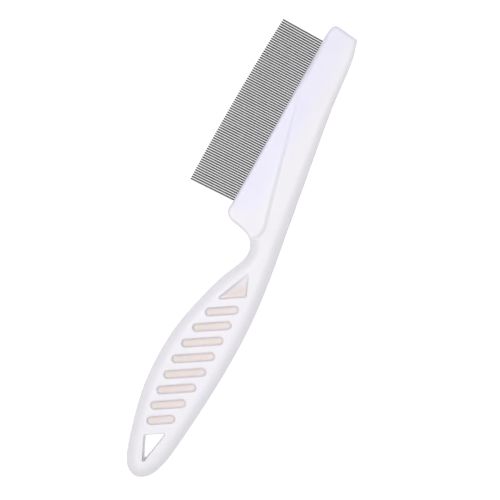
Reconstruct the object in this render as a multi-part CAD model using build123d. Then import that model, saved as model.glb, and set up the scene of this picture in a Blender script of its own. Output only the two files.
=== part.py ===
from build123d import *
from math import degrees
import os

# Flea comb: a white moulded handle whose head carries a close row of steel pins.
# Drafting frame, in millimetres: X runs along the row of pins towards the free end of the head,
# +Y is the way the pins point, and Z is up from the face that the comb lies on. Its origin is the
# middle of the row, on the line where the pins leave the head. The finished parts are moved so
# that the origin is under the middle of the whole comb.

# Pins
PIN_COUNT = 76
PINS_PER_NODE = 2
PIN_DIAMETER = 0.62
PIN_PITCH = 0.917  # from pin to pin at the root line
PIN_FAN = 0.00064  # turn of each pin per mm from the middle of the row, in radians
PIN_TIP_ROUND = 0.3
PIN_SET_DEPTH = 8.5  # length of each pin held inside the head
ROOT_SLOPE = -0.024  # the root line's fall along the row
TIP_REACH = 18.5  # from the root line's middle to the line of the tips
TIP_SLOPE = -0.042  # that line's fall along the row
TIP_CROWN = -0.0005  # and its curve

# Head and grip
GRIP_THICKNESS = 8.4
GRIP_EDGE_ROUND = 3.9
BLADE_THICKNESS = 6.4
BLADE_EDGE_ROUND = 1.3
TAPER_START = -32.0  # the spine thins from here
TAPER_END = 30.0  # and is as thin as the blade here

# The seat, a strip inside the head that holds the pins at their pitch
SEAT_LENGTH = 71.4
SEAT_DEPTH = 9.2
SEAT_THICKNESS = 2.0

# Pockets in both faces of the grip
SLOT_WIDTH = 2.9
SLOT_DEPTH = 1.2
SLOT_ANGLE = 121.7
SLOTS = (  # centre x, centre y, overall length
    (-73.6, -14.7, 12.4),
    (-80.5, -14.1, 14.4),
    (-87.3, -13.6, 15.5),
    (-94.1, -13.4, 16.0),
    (-100.8, -13.3, 15.7),
    (-107.4, -13.2, 14.6),
    (-114.0, -13.2, 13.0),
    (-120.4, -13.5, 10.4),
)
WEDGE_CORNERS = ((-70.5, -11.0), (-64.7, -20.2), (-56.2, -17.0))  # the last is the apex
WEDGE_DEPTH, WEDGE_SHALLOW = 1.6, 0.25  # the small pocket's depth at its long side and its apex
HANG_CORNERS = ((-128.3, -10.6), (-124.1, -17.6), (-138.2, -14.9))
CORNER_ROUND = 0.4

MIDDLE = GRIP_THICKNESS / 2
REACH = 100  # longer than anything that a cutting block must clear


def root_y(x):
    return ROOT_SLOPE * x


def tip_y(x):
    return TIP_REACH + TIP_SLOPE * x + TIP_CROWN * x * x


def slab(face, thickness):
    """A plate with this outline, its middle on the comb's mid plane."""
    return Pos(0, 0, MIDDLE - thickness / 2) * extrude(face, thickness)


def rims(plate):
    """The edges round a plate's two flat faces."""
    flats = plate.faces().sort_by(Axis.Z)
    return flats[0].edges() + flats[-1].edges()


def grip_outline():
    """Grip, neck and spine. Towards the pins it runs past the crease, which trims it later."""
    back = [(17, -14.4), (4, -17.1), (-18, -20.2), (-41, -23.4), (-60, -25.9), (-79, -27.0)]
    heel = [(-97, -26.5), (-115, -25.0), (-129, -23.4), (-138, -21.4), (-142.3, -18.8)]
    end = [(-144.3, -14.8), (-142.5, -10.6), (-138, -7.9), (-129, -5.1)]
    belly = [(-114, -1.9), (-98, -1.1), (-86, -2.2), (-74, -5.0), (-62, -8.8)]
    notch = [(-55.4, -11.7), (-50.4, -13.2), (-45.6, -11.8), (-43.0, -7.8)]
    edge = Spline(*back, *heel, *end, *belly, *notch)
    return make_face([edge, *Polyline(notch[-1], (-34, -3.5), (10, -3.5), back[0]).edges()])


def taper_blocks():
    """Two blocks that thin the spine towards the free end of the head, over it and under it."""
    drop = (GRIP_THICKNESS - BLADE_THICKNESS) / 2 / (TAPER_END - TAPER_START)
    side = [(TAPER_START, 0), (TAPER_START + REACH, -REACH * drop), (TAPER_START + REACH, 1)]
    block = extrude(Plane.XZ * make_face(Polyline(*side, close=True)), REACH / 2, both=True)
    over = Pos(0, 0, GRIP_THICKNESS) * block
    return over + mirror(over, Plane.XY.offset(MIDDLE))


def blade_side():
    """The region on the pins' side of the crease, where the head is thin."""
    hook = Spline((-49.0, -8.0), (-44.3, -11.8), (-41.2, -13.6), (-38.6, -13.8), (-35.0, -12.9))
    run = Polyline((-35.0, -12.9), (40, 4.8), (40, 20), (-49, 20), (-49.0, -8.0))
    return extrude(make_face([hook, *run.edges()]), GRIP_THICKNESS)


def blade_outline():
    """The thin head. Its lower left sides lie hidden inside the neck and the spine."""
    corner = [(-42.1, -3.4), (-41.4, -0.9), (-39.7, 0.75), (-37.8, 1.1)]
    start = (-44.9, -12.6)
    lip = Spline(start, (-43.0, -7.6), *corner)
    root = Polyline(corner[-1], (-35.9, root_y(-35.9)), (35.8, root_y(35.8)))
    free_end = Spline((35.8, root_y(35.8)), (39.2, -1.2), (41.3, -2.3), (41.5, -5.5), (40.6, -12.2))
    back = Spline((40.6, -12.2), (37.8, -13.1), (20, -15.3), (0, -17.4), (-30, -20.5))
    hidden = Polyline((-30, -20.5), (-44, -18), start)
    return make_face([lip, *root.edges(), free_end, back, *hidden.edges()])


def pocket_tools():
    """The slots and the small wedge, as tools that sink into the face that the comb lies on."""
    tools = []
    for x, y, length in SLOTS:
        shape = Pos(x, y) * Rot(0, 0, SLOT_ANGLE) * SlotOverall(length, SLOT_WIDTH)
        tools.append(extrude(shape, SLOT_DEPTH))
    tools.append(extrude(rounded(WEDGE_CORNERS), WEDGE_DEPTH) & ramp_block())
    return tools


def ramp_block():
    """Fills the small wedge's depth, from its long side to its shallow apex."""
    start, end, apex = (Vector(*corner) for corner in WEDGE_CORNERS)
    side = (end - start).normalized()
    run = (apex - start).dot(side.rotate(Axis.Z, 90))
    slope = (WEDGE_DEPTH - WEDGE_SHALLOW) / run
    section = [(-1, 0), (-1, WEDGE_DEPTH + slope), (run + 1, WEDGE_SHALLOW - slope), (run + 1, 0)]
    across = Plane(origin=start, x_dir=side.rotate(Axis.Z, 90), z_dir=side)
    flip = 1 if across.y_dir.Z > 0 else -1
    face = across * make_face(Polyline(*[(a, flip * b) for a, b in section], close=True))
    return extrude(face, REACH / 2, both=True)


def rounded(corners):
    face = make_face(Polyline(*corners, close=True))
    return fillet(face.vertices(), CORNER_ROUND)


def make_grip():
    """The thick part. Its outer rim is rounded, and its straight sides end inside the head."""
    plate = slab(grip_outline(), GRIP_THICKNESS)
    outer = [edge for edge in rims(plate) if edge.geom_type != GeomType.LINE]
    return fillet(outer, GRIP_EDGE_ROUND) - taper_blocks() - blade_side()


def make_blade():
    plate = slab(blade_outline(), BLADE_THICKNESS)
    return fillet(rims(plate), BLADE_EDGE_ROUND)


def make_handle():
    body = make_grip() + make_blade()
    for tool in pocket_tools():
        body = body - tool - mirror(tool, Plane.XY.offset(MIDDLE))
    body -= extrude(rounded(HANG_CORNERS), GRIP_THICKNESS)
    return body - seat_block()


def seat_block():
    """The strip-shaped space in the head's edge, flush with the root line."""
    half = SEAT_LENGTH / 2
    ends = [(-half, root_y(-half)), (half, root_y(half))]
    deep = [(x, y - SEAT_DEPTH) for x, y in reversed(ends)]
    return slab(make_face(Polyline(*ends, *deep, close=True)), SEAT_THICKNESS)


def make_pin(number):
    """One pin, counted from the grip's end of the row. The pins close up towards the root."""
    x = (number - (PIN_COUNT - 1) / 2) * PIN_PITCH
    length = PIN_SET_DEPTH + tip_y(x) - root_y(x)
    wire = Cylinder(PIN_DIAMETER / 2, length, align=(Align.CENTER, Align.CENTER, Align.MIN))
    wire = fillet(wire.edges().sort_by(Axis.Z)[-1], PIN_TIP_ROUND)
    laid = Pos(0, -PIN_SET_DEPTH, 0) * Rot(-90, 0, 0) * wire
    return Pos(x, root_y(x), MIDDLE) * Rot(0, 0, -degrees(PIN_FAN * x)) * laid


handle = make_handle()
pins = [make_pin(number) for number in range(PIN_COUNT)]
seat = seat_block()
for pin in pins:
    seat -= pin

parts = {"handle": handle, "tooth_seat": seat}
for first in range(0, PIN_COUNT, PINS_PER_NODE):
    name = f"pin_pair_{first // PINS_PER_NODE + 1:02d}"
    parts[name] = Compound(pins[first : first + PINS_PER_NODE])

box = Compound([handle, *pins]).bounding_box()
to_origin = Pos(-box.center().X, -box.center().Y, -box.min.Z)
os.makedirs("parts", exist_ok=True)
for name, shape in parts.items():
    export_step(to_origin * shape, f"parts/{name}.step")
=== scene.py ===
import math

import bpy
import numpy as np
from mathutils import Matrix, Vector
from mathutils.kdtree import KDTree


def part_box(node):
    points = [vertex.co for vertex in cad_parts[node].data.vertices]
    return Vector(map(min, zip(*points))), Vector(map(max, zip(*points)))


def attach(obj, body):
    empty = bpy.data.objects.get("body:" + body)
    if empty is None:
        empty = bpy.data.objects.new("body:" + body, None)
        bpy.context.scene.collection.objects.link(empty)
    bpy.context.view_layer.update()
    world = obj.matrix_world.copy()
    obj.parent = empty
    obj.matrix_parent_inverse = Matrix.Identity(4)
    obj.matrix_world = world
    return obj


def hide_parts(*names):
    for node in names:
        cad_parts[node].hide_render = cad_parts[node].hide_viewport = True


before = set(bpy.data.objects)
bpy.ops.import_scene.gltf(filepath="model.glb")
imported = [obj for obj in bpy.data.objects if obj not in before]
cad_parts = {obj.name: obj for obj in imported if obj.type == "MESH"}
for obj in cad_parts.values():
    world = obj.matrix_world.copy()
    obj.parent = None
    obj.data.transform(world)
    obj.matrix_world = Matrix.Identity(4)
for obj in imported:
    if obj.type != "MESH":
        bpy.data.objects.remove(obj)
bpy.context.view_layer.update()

# Shapes are drafted in millimetres, as the CAD is: X along the row of pins, +Y the way the pins
# point, origin in the middle of the row on the root line, Z up from the face it lies on.
MM = 0.001
SEED = 11

# Pins
PIN_COUNT = 76
PINS_PER_NODE = 2
PIN_RADIUS = 0.31
PIN_PITCH = 0.917
PIN_FAN = 0.00064
PIN_SET_DEPTH = 8.5
ROOT_SLOPE = -0.024
TIP_REACH, TIP_SLOPE, TIP_CROWN = 18.5, -0.042, -0.0005

# Seat
SEAT_LENGTH, SEAT_DEPTH, SEAT_THICKNESS = 71.4, 9.2, 2.0

# Handle
MIDDLE = 4.2  # height of the mid plane
GRIP_HALF = 4.2  # half thicknesses
BLADE_HALF = 3.2
TAPER_START, TAPER_END = -32.0, 30.0
GRIP_ROUND = 3.9  # radius of the rim, along the grip and at the head's free end
RIM_STRETCH = 0.8  # the rim's height over its width
TIP_ROUND = 1.4
FREE_END = 38.0
BLADE_ROUND = 1.3
CREASE_WIDTH = 2.0
SLOT_WIDTH, SLOT_DEPTH, SLOT_ANGLE = 2.9, 1.2, math.radians(121.7)
SLOTS = (  # centre x, centre y, overall length
    (-73.6, -14.7, 12.4),
    (-80.5, -14.1, 14.4),
    (-87.3, -13.6, 15.5),
    (-94.1, -13.4, 16.0),
    (-100.8, -13.3, 15.7),
    (-107.4, -13.2, 14.6),
    (-114.0, -13.2, 13.0),
    (-120.4, -13.5, 10.4),
)
RIM_ROUND, FLOOR_ROUND = 0.3, 0.8
POCKET_RIM = 0.5  # radius of the pockets' edges
WEDGE_CORNERS = ((-70.5, -11.0), (-64.7, -20.2), (-56.2, -17.0))
WEDGE_DEPTH, WEDGE_SHALLOW = 1.6, 0.25  # the small pocket's depth at its long side and its apex
HANG_CORNERS = ((-128.3, -10.6), (-124.1, -17.6), (-138.2, -14.9))
CORNER_ROUND = 0.4

# Painted shade in the pockets
APEX_FADE = 0.9  # how much of its painted shade the small pocket loses at its shallow apex
LEFT_FADE = 0.1  # how much of its painted shade each slot loses at its end on the pins' side

# Meshes
OUTLINE_STEP = 0.05  # between points of an outline
OUTLINE_SOFT = 0.6  # how far the outline's corners are rounded over
MAP_STEP = 0.15  # between samples of a distance in plan
RIM_BLEND = (-2.0, 0.5)  # from the crease, where one rim's rounding gives way to the other's
SEAT_EDGE = 0.05
HANDLE_MESH = 0.27
PIN_AROUND = 20
TIP_LENGTH = 0.5
TIP_RINGS = 7
PIN_CHAMFER = 0.06  # at the buried end

# Studio
CAMERA_TURN = math.radians(27.8)
CAMERA_OVER = (2.90, -9.52)  # the point of the floor under the camera, in the frame
CAMERA_HEIGHT = 341.0  # above the comb's mid plane
VIEW_WIDTH = 189.7  # width of the view at the mid plane
KEY_POWER, FILL_POWER = 4.9, 3.6
WORLD_LIGHT = 0.12
LIGHT_ASIDE, LIGHT_UP = 0.22, 0.9  # metres
LIGHT_LENGTH, LIGHT_WIDTH = 0.9, 0.3  # metres
FLOOR_REACH = 3.0  # metres
FLOOR_DROP = 0.05  # below the face that the comb lies on


def root_y(x):
    return ROOT_SLOPE * x


def tip_y(x):
    return TIP_REACH + TIP_SLOPE * x + TIP_CROWN * x * x


# The draft's origin in the frame: the seat is centred on it.
seat_low, seat_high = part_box("tooth_seat")
SHIFT = np.array([
    (seat_low.x + seat_high.x) / 2 / MM,
    seat_low.y / MM - (root_y(SEAT_LENGTH / 2) - SEAT_DEPTH),
    0.0,
])


# ---------------------------------------------------------------- curves

def spline(points, step=0.05):
    """Points every step along a natural cubic through these points."""
    p = np.array(points, float)
    t = np.concatenate([[0], np.cumsum(np.hypot(*np.diff(p, axis=0).T))])
    n = len(p)
    h = np.diff(t)
    a = np.zeros((n, n))
    b = np.zeros((n, 2))
    a[0, 0] = a[-1, -1] = 1
    for i in range(1, n - 1):
        a[i, i - 1 : i + 2] = h[i - 1], 2 * (h[i - 1] + h[i]), h[i]
        b[i] = 6 * ((p[i + 1] - p[i]) / h[i] - (p[i] - p[i - 1]) / h[i - 1])
    m = np.linalg.solve(a, b)
    s = np.linspace(0, t[-1], int(t[-1] / step) + 2)
    i = np.clip(np.searchsorted(t, s) - 1, 0, n - 2)
    u, v, w = (s - t[i])[:, None], (t[i + 1] - s)[:, None], h[i][:, None]
    bend = (m[i] * v**3 + m[i + 1] * u**3) / (6 * w)
    return bend + (p[i] / w - m[i] * w / 6) * v + (p[i + 1] / w - m[i + 1] * w / 6) * u


def evenly(points, step, closed):
    """The same line with its points step apart."""
    p = np.vstack([points, points[:1]]) if closed else points
    t = np.concatenate([[0], np.cumsum(np.hypot(*np.diff(p, axis=0).T))])
    s = np.linspace(0, t[-1], int(t[-1] / step) + 1)
    s = s[:-1] if closed else s
    return np.column_stack([np.interp(s, t, p[:, k]) for k in (0, 1)])


def softened(points, step, reach):
    """A closed line with its corners rounded over about this reach."""
    p = evenly(points, step, True)
    n = int(reach / step)
    kernel = np.hanning(2 * n + 3)[1:-1]
    kernel /= kernel.sum()
    wrapped = np.vstack([p[-n:], p, p[:n]])
    return np.column_stack([np.convolve(wrapped[:, k], kernel, "valid") for k in (0, 1)])


class Line:
    """Signed distance to a line in plan, positive to the left of its travel."""

    def __init__(self, points, closed):
        ends = np.roll(points, -1, 0) - np.roll(points, 1, 0)
        if not closed:
            ends[0], ends[-1] = points[1] - points[0], points[-1] - points[-2]
        ends /= np.hypot(*ends.T)[:, None]
        self.points, self.normals = points, np.column_stack([-ends[:, 1], ends[:, 0]])
        self.tree = KDTree(len(points))
        for i, (x, y) in enumerate(points):
            self.tree.insert((x, y, 0), i)
        self.tree.balance()

    def distance(self, x, y):
        near = np.array([self.tree.find((a, b, 0))[1] for a, b in zip(x, y)])
        away = np.column_stack([x, y]) - self.points[near]
        return (away * self.normals[near]).sum(1)


class PlanMap:
    """A value over the plan, worked out on a grid and read between its points."""

    def __init__(self, function, low, high, step):
        self.low, self.step = low, step
        self.shape = [int((b - a) / step) + 2 for a, b in zip(low, high)]
        gx, gy = np.meshgrid(*[a + step * np.arange(n) for a, n in zip(low, self.shape)], indexing="ij")
        self.values = function(gx.ravel(), gy.ravel()).reshape(self.shape)

    def __call__(self, x, y):
        u = np.clip((x - self.low[0]) / self.step, 0, self.shape[0] - 1.001)
        v = np.clip((y - self.low[1]) / self.step, 0, self.shape[1] - 1.001)
        i, j = u.astype(int), v.astype(int)
        u, v = u - i, v - j
        g = self.values
        return (
            (g[i, j] * (1 - u) + g[i + 1, j] * u) * (1 - v)
            + (g[i, j + 1] * (1 - u) + g[i + 1, j + 1] * u) * v
        )


# ---------------------------------------------------------------- solids as distance

def smooth(x, low, high):
    t = np.clip((x - low) / (high - low), 0, 1)
    return t * t * (3 - 2 * t)


def ease_min(a, b, k):
    """The lesser, with the change from one to the other eased over about k."""
    h = np.clip(0.5 + 0.5 * (b - a) / k, 0, 1)
    return b + (a - b) * h - k * h * (1 - h)


def both(a, b, r):
    """Inside both, with the edge between them rounded to r."""
    return np.minimum(-r, np.maximum(a, b)) + np.hypot(np.maximum(a + r, 0), np.maximum(b + r, 0))


def capsule(x, y, cx, cy, length, width, angle):
    """Distance to a slot's outline in plan."""
    c, s = math.cos(angle), math.sin(angle)
    half = (length - width) / 2
    along = (x - cx) * c + (y - cy) * s
    across = (y - cy) * c - (x - cx) * s
    return np.hypot(along - np.clip(along, -half, half), across) - width / 2


def rounded_triangle(x, y, corners, r):
    """Distance to a triangle's outline in plan, its corners rounded to r."""
    a, b, c = (np.array(p, float) for p in corners)
    sides = [np.hypot(*(b - c)), np.hypot(*(c - a)), np.hypot(*(a - b))]
    area = abs((b - a)[0] * (c - a)[1] - (b - a)[1] * (c - a)[0]) / 2
    centre = (sides[0] * a + sides[1] * b + sides[2] * c) / sum(sides)
    keep = 1 - r / (2 * area / sum(sides))
    p = [centre + (q - centre) * keep for q in (a, b, c)]
    turn = np.sign((b - a)[0] * (c - a)[1] - (b - a)[1] * (c - a)[0])
    nearest, inside = np.full(x.shape, 1e9), np.full(x.shape, True)
    for k in range(3):
        start, edge = p[k], p[(k + 1) % 3] - p[k]
        wx, wy = x - start[0], y - start[1]
        t = np.clip((wx * edge[0] + wy * edge[1]) / (edge @ edge), 0, 1)
        nearest = np.minimum(nearest, np.hypot(wx - edge[0] * t, wy - edge[1] * t))
        inside &= turn * (edge[0] * wy - edge[1] * wx) > 0
    return np.where(inside, -nearest, nearest) - r


def handle_outline():
    """The handle's whole outline in plan, run clockwise, with its few corners softened."""
    lip = [(-44.4, -11.9), (-43.0, -7.6), (-42.1, -3.4), (-41.4, -0.9), (-39.7, 0.75), (-37.8, 1.1)]
    left, right = -35.9, 35.8
    free_end = [(right, root_y(right)), (39.2, -1.2), (41.3, -2.3), (41.5, -5.5), (40.6, -12.2)]
    back = [(37.8, -13.1), (20, -15.3), (4, -17.1), (-18, -20.2), (-41, -23.4), (-60, -25.9)]
    heel = [(-79, -27.0), (-97, -26.5), (-115, -25.0), (-129, -23.4), (-138, -21.4)]
    end = [(-142.3, -18.8), (-144.3, -14.8), (-142.5, -10.6), (-138, -7.9), (-129, -5.1)]
    belly = [(-114, -1.9), (-98, -1.1), (-86, -2.2), (-74, -5.0), (-62, -8.8)]
    notch = [(-55.4, -11.7), (-50.4, -13.2), (-45.6, -11.8)]
    root = np.array([(left, root_y(left)), (right, root_y(right))])
    below = spline([free_end[-1], *back, *heel, *end, *belly, *notch, *lip[1:], (left, root_y(left))])
    return softened(np.vstack([root, spline(free_end), below]), OUTLINE_STEP, OUTLINE_SOFT)


LOW, HIGH = (-147.0, -29.5), (44.0, 4.0)
EDGE = PlanMap(Line(handle_outline(), True).distance, LOW, HIGH, MAP_STEP)
crease = spline([(-49.0, -8.0), (-44.3, -11.8), (-41.2, -13.6), (-38.6, -13.8), (-35.0, -12.9)])
crease = evenly(np.vstack([crease, [(44, 5.8)]]), OUTLINE_STEP, False)
CREASE = PlanMap(Line(crease, False).distance, LOW, HIGH, MAP_STEP)


def half_thickness(x, y):
    drop = (GRIP_HALF - BLADE_HALF) / (TAPER_END - TAPER_START)
    spine = ease_min(GRIP_HALF, GRIP_HALF - drop * (x - TAPER_START), 0.8)
    spine = -ease_min(-spine, -BLADE_HALF, 0.3)
    blade = smooth(CREASE(x, y), -0.75 * CREASE_WIDTH, 0.25 * CREASE_WIDTH)
    return spine + (BLADE_HALF - spine) * blade


def rim_round(x, y):
    run = np.clip((x - TAPER_START) / (FREE_END - TAPER_START), 0, 1)
    back = GRIP_ROUND + (TIP_ROUND - GRIP_ROUND) * run
    return back + (BLADE_ROUND - back) * smooth(CREASE(x, y), *RIM_BLEND)


def pocket(plan, z, floor):
    """A pocket in both faces: this outline, down to this half thickness."""
    return both(plan, floor - np.abs(z - MIDDLE), FLOOR_ROUND)


def slot_plans(x, y):
    return [capsule(x, y, cx, cy, n, SLOT_WIDTH, SLOT_ANGLE) for cx, cy, n in SLOTS]


def slot_shaded_end(x, y, slot):
    """Where a slot's floor gets more painted shade, at its end on the pins' side: 1 there, and 0 away
    from it.
    """
    cx, cy, length = slot
    along = (x - cx) * math.cos(SLOT_ANGLE) + (y - cy) * math.sin(SLOT_ANGLE)
    across = (x - cx) * math.sin(SLOT_ANGLE) - (y - cy) * math.cos(SLOT_ANGLE)
    near = np.abs(across) < SLOT_WIDTH
    return smooth(along, 0.0, length / 2) * near * (along < length / 2 + 1)


def wedge_run(x, y):
    """0 along the small pocket's long side, and 1 at its apex."""
    a, b, apex = (np.array(p) for p in WEDGE_CORNERS)
    side = (b - a) / np.hypot(*(b - a))
    normal = np.array([-side[1], side[0]])
    return ((x - a[0]) * normal[0] + (y - a[1]) * normal[1]) / ((apex - a) @ normal)


def wedge_floor(x, y):
    """The small pocket's floor climbs from its long side to its apex."""
    run = np.clip(wedge_run(x, y), 0, 1)
    return GRIP_HALF - WEDGE_DEPTH + (WEDGE_DEPTH - WEDGE_SHALLOW) * run


def handle_field(p):
    """Distance to the handle's surface, negative inside."""
    x, y, z = p[:, 0], p[:, 1], p[:, 2]
    up = np.abs(z - MIDDLE) - half_thickness(x, y)
    stretch = RIM_STRETCH + (1 - RIM_STRETCH) * smooth(CREASE(x, y), *RIM_BLEND)
    field = both(EDGE(x, y) * stretch, up, rim_round(x, y))
    for plan in slot_plans(x, y):
        field = both(field, -pocket(plan, z, GRIP_HALF - SLOT_DEPTH), POCKET_RIM)
    wedge = rounded_triangle(x, y, WEDGE_CORNERS, CORNER_ROUND)
    field = both(field, -pocket(wedge, z, wedge_floor(x, y)), POCKET_RIM)
    hang = rounded_triangle(x, y, HANG_CORNERS, CORNER_ROUND)
    field = both(field, -hang, RIM_ROUND)
    seat = np.maximum(np.abs(x) - SEAT_LENGTH / 2, np.abs(z - MIDDLE) - SEAT_THICKNESS / 2)
    seat = np.maximum(seat, root_y(x) - SEAT_DEPTH - y)
    return both(field, -seat, SEAT_EDGE)


# ---------------------------------------------------------------- meshing

def surface_net(field, low, high, step):
    """Vertices and quads of the surface where field is zero, evenly spaced."""
    counts = [int((b - a) / step) + 2 for a, b in zip(low, high)]
    axes = [a + step * np.arange(n) for a, n in zip(low, counts)]
    grid = np.stack(np.meshgrid(*axes, indexing="ij"), -1).reshape(-1, 3)
    value = field(grid).reshape(counts)
    cells = [n - 1 for n in counts]
    total, hits = np.zeros((np.prod(cells), 3)), np.zeros(np.prod(cells))
    quads = []
    for axis in range(3):
        a = np.take(value, range(counts[axis] - 1), axis)
        b = np.take(value, range(1, counts[axis]), axis)
        at = np.argwhere((a < 0) != (b < 0))
        others = [k for k in range(3) if k != axis]
        at = at[(at[:, others] > 0).all(1) & (at[:, others] < np.array(cells)[others]).all(1)]
        va, vb = a[tuple(at.T)], b[tuple(at.T)]
        point = at.astype(float)
        point[:, axis] += va / (va - vb)
        corners = []
        for du, dv in ((0, 0), (1, 0), (1, 1), (0, 1)):
            cell = at.copy()
            cell[:, others[0]] -= du
            cell[:, others[1]] -= dv
            flat = np.ravel_multi_index(cell.T, cells)
            for k in range(3):
                total[:, k] += np.bincount(flat, point[:, k], len(total))
            hits += np.bincount(flat, minlength=len(hits))
            corners.append(flat)
        quad = np.stack(corners, 1)
        flip = (va < 0) == (axis == 1)
        quad[flip] = quad[flip][:, ::-1]
        quads.append(quad)
    used = hits > 0
    index = np.cumsum(used) - 1
    points = np.array(low) + step * total[used] / hits[used][:, None]
    return points, index[np.vstack(quads)]


def settle(points, field, reach, rounds=4):
    """Moves the points onto the surface where field is zero, by at most reach."""
    h = 0.02
    p = points.copy()
    for _ in range(rounds):
        value = field(p)
        slope = np.stack([field(p + h * e) - field(p - h * e) for e in np.eye(3)], 1) / (2 * h)
        size = np.maximum((slope**2).sum(1), 0.25)
        p -= np.clip(value / size, -reach, reach)[:, None] * slope
    return p


def add_mesh(name, points, faces, material):
    """A smooth-shaded object from drafted points."""
    mesh = bpy.data.meshes.new(name)
    mesh.from_pydata(((points + SHIFT) * MM).tolist(), [], [list(face) for face in faces])
    mesh.shade_smooth()
    mesh.materials.append(material)
    piece = bpy.data.objects.new(name, mesh)
    bpy.context.scene.collection.objects.link(piece)
    return piece


def add_attribute(piece, name, values):
    layer = piece.data.attributes.new(name, "FLOAT", "POINT")
    layer.data.foreach_set("value", np.asarray(values, np.float32))


# ---------------------------------------------------------------- materials

class Graph:
    """Adds and joins the nodes of one material."""

    def __init__(self, name, **values):
        self.material = bpy.data.materials.new(name)
        self.material.use_nodes = True
        self.tree = self.material.node_tree
        self.shader = self.tree.nodes["Principled BSDF"]
        for socket, value in values.items():
            self.shader.inputs[socket.replace("_", " ")].default_value = value

    def add(self, kind, inputs=None, **settings):
        node = self.tree.nodes.new("ShaderNode" + kind)
        for key, value in settings.items():
            setattr(node, key, value)
        for socket, value in (inputs or {}).items():
            self.put(node.inputs[socket], value)
        return node

    def put(self, socket, value):
        if isinstance(value, bpy.types.NodeSocket):
            self.tree.links.new(value, socket)
        else:
            socket.default_value = value

    def place(self):
        return self.add("TexCoord").outputs["Object"]

    def attribute(self, name):
        return self.add("Attribute", attribute_name=name).outputs["Fac"]

    def noise(self, scale, detail=2.0, rough=0.5, stretch=None):
        where = self.place()
        if stretch:
            where = self.add("Mapping", {"Vector": where, "Scale": stretch}).outputs["Vector"]
        inputs = {"Vector": where, "Scale": scale, "Detail": detail, "Roughness": rough}
        return self.add("TexNoise", inputs).outputs["Fac"]

    def remap(self, value, low, high, to_low=0.0, to_high=1.0):
        inputs = {"Value": value, "From Min": low, "From Max": high, "To Min": to_low, "To Max": to_high}
        return self.add("MapRange", inputs, interpolation_type="SMOOTHSTEP").outputs["Result"]

    def math(self, operation, a, b=0.0):
        return self.add("Math", {0: a, 1: b}, operation=operation).outputs[0]

    def mix(self, factor, a, b):
        node = self.add("Mix", data_type="RGBA")
        for name, value in (("Factor", factor), ("A", a), ("B", b)):
            socket = next(k for k in node.inputs if k.name == name and k.enabled)
            self.put(socket, value)
        return next(k for k in node.outputs if k.enabled)

    def bump(self, height, distance, onto=None):
        inputs = {"Height": height, "Distance": distance}
        if onto:
            inputs["Normal"] = onto
        return self.add("Bump", inputs).outputs["Normal"]

    def set(self, **sockets):
        for socket, value in sockets.items():
            self.put(self.shader.inputs[socket.replace("_", " ")], value)
        return self.material


def color(r, g, b):
    return (r, g, b, 1.0)


def handle_material():
    g = Graph("white_plastic", IOR=1.49, Subsurface_Weight=0.2, Subsurface_Scale=0.001)
    g.shader.inputs["Subsurface Radius"].default_value = (1.6, 1.3, 1.1)
    cloud = g.noise(60, 3.0)
    broad = g.noise(28, 2.0)
    body = g.mix(g.remap(broad, 0.38, 0.66), color(0.872, 0.852, 0.905), color(0.862, 0.846, 0.885))
    band = g.math("MULTIPLY", g.attribute("band"), g.remap(cloud, 0.25, 0.75, 0.75, 1.1))
    body = g.mix(band, body, color(0.83, 0.815, 0.96))
    # Painted shade: pocket floors get a darker, warm colour in place of the shade and warm bounced light
    # in these recesses, darker again at each slot's end on the pins' side.
    pocket_shade_color = g.mix(g.attribute("left"), color(0.75, 0.665, 0.645), color(0.70, 0.625, 0.555))
    body = g.mix(g.attribute("pocket"), body, pocket_shade_color)
    fine = g.noise(2600, 2.0, 0.6)
    peel = g.noise(420, 2.0)
    rough = g.remap(g.noise(140, 4.0, 0.65), 0.3, 0.7, 0.34, 0.46)
    height = g.add("SeparateXYZ", {0: g.place()}).outputs["Z"]
    off = g.math("ABSOLUTE", g.math("SUBTRACT", height, MIDDLE * MM))
    seam = g.remap(off, 0.0, 0.12 * MM, 1.0, 0.0)
    normal = g.bump(peel, 0.03 * MM)
    normal = g.bump(fine, 0.004 * MM, onto=normal)
    normal = g.bump(seam, 0.05 * MM, onto=normal)
    return g.set(Base_Color=body, Roughness=rough, Normal=normal)


def seat_material():
    g = Graph("milky_strip", IOR=1.5, Subsurface_Weight=0.2, Subsurface_Scale=0.001)
    shade = g.mix(g.noise(900, 3.0), color(0.72, 0.71, 0.84), color(0.80, 0.79, 0.90))
    rough = g.remap(g.noise(1500, 2.0), 0.3, 0.7, 0.4, 0.6)
    return g.set(Base_Color=shade, Roughness=rough, Normal=g.bump(g.noise(1800, 3.0), 0.02 * MM))


def pin_material():
    g = Graph("drawn_steel", Metallic=1.0)
    drawn = g.noise(5200, 3.0, 0.6, stretch=(1.0, 0.02, 1.0))
    stain = g.noise(420, 4.0, 0.6)
    tone = g.attribute("tone")
    steel = g.mix(g.remap(drawn, 0.3, 0.7), color(0.07, 0.07, 0.075), color(0.13, 0.13, 0.135))
    steel = g.mix(g.math("MULTIPLY", tone, 0.35), steel, color(0.12, 0.12, 0.13))
    rough = g.remap(stain, 0.3, 0.7, 0.30, 0.44)
    return g.set(Base_Color=steel, Roughness=rough, Normal=g.bump(drawn, 0.006 * MM))


def floor_material():
    g = Graph("pale_floor", Emission_Strength=0.8)
    g.shader.inputs["Emission Color"].default_value = (1, 1, 1, 1)
    shade = g.mix(g.noise(6, 2.0), color(0.36, 0.36, 0.36), color(0.38, 0.38, 0.38))
    return g.set(Base_Color=shade, Roughness=0.9)


# ---------------------------------------------------------------- pieces

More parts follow.
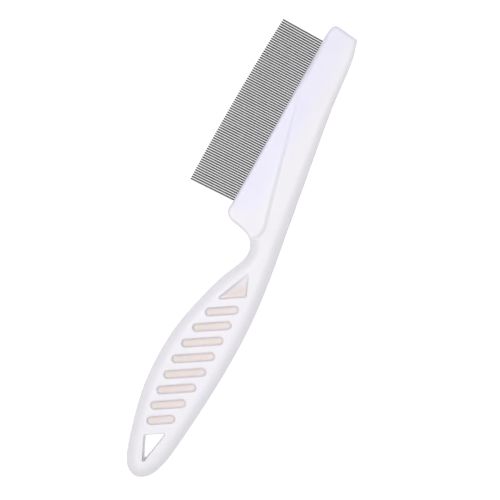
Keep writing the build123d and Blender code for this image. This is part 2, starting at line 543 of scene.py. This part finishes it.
def add_handle():
    low, high = (-146.0, -28.5, -0.7), (43.0, 2.6, 9.1)
    points, quads = surface_net(handle_field, low, high, HANDLE_MESH)
    points = settle(points, handle_field, 0.1)
    x, y, z = points.T
    piece = add_mesh("handle_moulding", points, quads, handle_material())
    # Painted shade in the pockets: how strongly each point takes the darker warm colour, on sunk floors
    # only, fading towards the small pocket's shallow apex.
    plans = slot_plans(x, y) + [rounded_triangle(x, y, WEDGE_CORNERS, CORNER_ROUND)]
    inside = np.min(plans, 0)
    sunk = smooth(half_thickness(x, y) - np.abs(z - MIDDLE), 0.05, 0.4)
    fade = 1 - APEX_FADE * smooth(wedge_run(x, y), 0.0, 0.9) * (plans[-1] < 0.5)
    # Painted shade at each slot's end on the pins' side, where its wall shades the floor.
    left = np.max([slot_shaded_end(x, y, slot) for slot in SLOTS], 0)
    pocket_shade = smooth(-inside, -0.1, 0.6) * sunk * fade * (1 - LEFT_FADE * left)
    add_attribute(piece, "pocket", pocket_shade)
    add_attribute(piece, "left", left)
    depth = root_y(x) - y
    along = smooth(x, -39, -33)
    add_attribute(piece, "band", (1 - smooth(depth, 5.0, 12.5)) * along)
    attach(piece, "root")
    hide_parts("handle")


def pin_rings(length):
    """Radius and distance along a pin, from its buried end to its rounded tip."""
    rings = [(PIN_RADIUS - PIN_CHAMFER, 0.0), (PIN_RADIUS, PIN_CHAMFER)]
    rings += [(PIN_RADIUS, length * t) for t in (0.3, 0.35, 0.6, 0.8)]
    for k in range(TIP_RINGS):
        turn = math.pi / 2 * k / TIP_RINGS
        rings.append((PIN_RADIUS * math.cos(turn), length - TIP_LENGTH * (1 - math.sin(turn))))
    return rings


def pin_points(number, around):
    """One pin's points and faces, where it stands in the row."""
    x = (number - (PIN_COUNT - 1) / 2) * PIN_PITCH
    turn = PIN_FAN * x
    length = PIN_SET_DEPTH + tip_y(x) - root_y(x)
    rings = pin_rings(length)
    angle = np.arange(around) * 2 * math.pi / around
    points = [[0.0, 0.0, 0.0]]
    for radius, along in rings:
        ring = np.column_stack([radius * np.cos(angle), np.full(around, along), radius * np.sin(angle)])
        points.extend(ring.tolist())
    points.append([0.0, length, 0.0])
    points = np.array(points) - (0, PIN_SET_DEPTH, 0)
    c, s = math.cos(turn), math.sin(turn)
    px, py, pz = points.T
    placed = np.column_stack([px * c + py * s, py * c - px * s, pz])
    placed += (x, root_y(x), MIDDLE)
    faces = []
    last = 1 + (len(rings) - 1) * around
    for k in range(around):
        n = (k + 1) % around
        faces.append([0, 1 + k, 1 + n])
        faces.append([len(points) - 1, last + n, last + k])
        for r in range(len(rings) - 1):
            a, b = 1 + r * around, 1 + (r + 1) * around
            faces.append([a + n, a + k, b + k, b + n])
    return placed, faces


def add_pins():
    material = pin_material()
    rng = np.random.default_rng(SEED)
    for first in range(0, PIN_COUNT, PINS_PER_NODE):
        points, faces, tones = np.zeros((0, 3)), [], []
        for number in range(first, first + PINS_PER_NODE):
            made, quads = pin_points(number, PIN_AROUND)
            faces += [[len(points) + k for k in face] for face in quads]
            points = np.vstack([points, made])
            tones += [rng.random()] * len(made)
        label = f"{first // PINS_PER_NODE + 1:02d}"
        piece = add_mesh(f"pins_{label}", points, faces, material)
        add_attribute(piece, "tone", tones)
        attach(piece, "root")
        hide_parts(f"pin_pair_{label}")


def finish_seat():
    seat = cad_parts["tooth_seat"]
    seat.data.materials.clear()
    seat.data.materials.append(seat_material())


# ---------------------------------------------------------------- studio

def add_floor():
    z = -FLOOR_DROP * MM
    corners = [(x, y, z) for x, y in ((-1, -1), (1, -1), (1, 1), (-1, 1))]
    corners = [(x * FLOOR_REACH, y * FLOOR_REACH, z) for x, y, z in corners]
    mesh = bpy.data.meshes.new("floor")
    mesh.from_pydata(corners, [], [(0, 1, 2, 3)])
    mesh.materials.append(floor_material())
    floor = bpy.data.objects.new("floor", mesh)
    bpy.context.scene.collection.objects.link(floor)


def add_softbox(name, side, energy):
    """A long soft light beside the camera, parallel to the row of pins."""
    lamp = bpy.data.lights.new(name, "AREA")
    lamp.shape, lamp.energy = "RECTANGLE", energy
    lamp.size, lamp.size_y = LIGHT_LENGTH, LIGHT_WIDTH
    holder = bpy.data.objects.new(name, lamp)
    bpy.context.scene.collection.objects.link(holder)
    holder.location = (0, LIGHT_ASIDE * side, LIGHT_UP)
    holder.rotation_euler = (-side * math.atan2(LIGHT_ASIDE, LIGHT_UP), 0, 0)


def add_world(strength):
    world = bpy.data.worlds.new("studio")
    world.use_nodes = True
    background = world.node_tree.nodes["Background"]
    background.inputs["Color"].default_value = (1, 1, 1, 1)
    background.inputs["Strength"].default_value = strength
    bpy.context.scene.world = world


def add_camera():
    """Looks straight down, turned so that the head points up and a little to the right."""
    right = Vector((math.sin(CAMERA_TURN), -math.cos(CAMERA_TURN), 0))
    up = Vector((math.cos(CAMERA_TURN), math.sin(CAMERA_TURN), 0))
    x, y = (v * MM for v in CAMERA_OVER)
    z = (MIDDLE + CAMERA_HEIGHT) * MM
    data = bpy.data.cameras.new("camera")
    data.sensor_width = 36
    data.lens = data.sensor_width * CAMERA_HEIGHT / VIEW_WIDTH
    data.clip_start, data.clip_end = 0.01, 10
    camera = bpy.data.objects.new("camera", data)
    bpy.context.scene.collection.objects.link(camera)
    rows = (right.x, up.x, 0, x), (right.y, up.y, 0, y), (0, 0, 1, z), (0, 0, 0, 1)
    camera.matrix_world = Matrix(rows)
    bpy.context.scene.camera = camera


add_handle()
add_pins()
finish_seat()
add_floor()
add_softbox("key_light", 1, KEY_POWER)
add_softbox("fill_light", -1, FILL_POWER)
add_world(WORLD_LIGHT)
add_camera()
bpy.context.scene.view_settings.view_transform = "Standard"
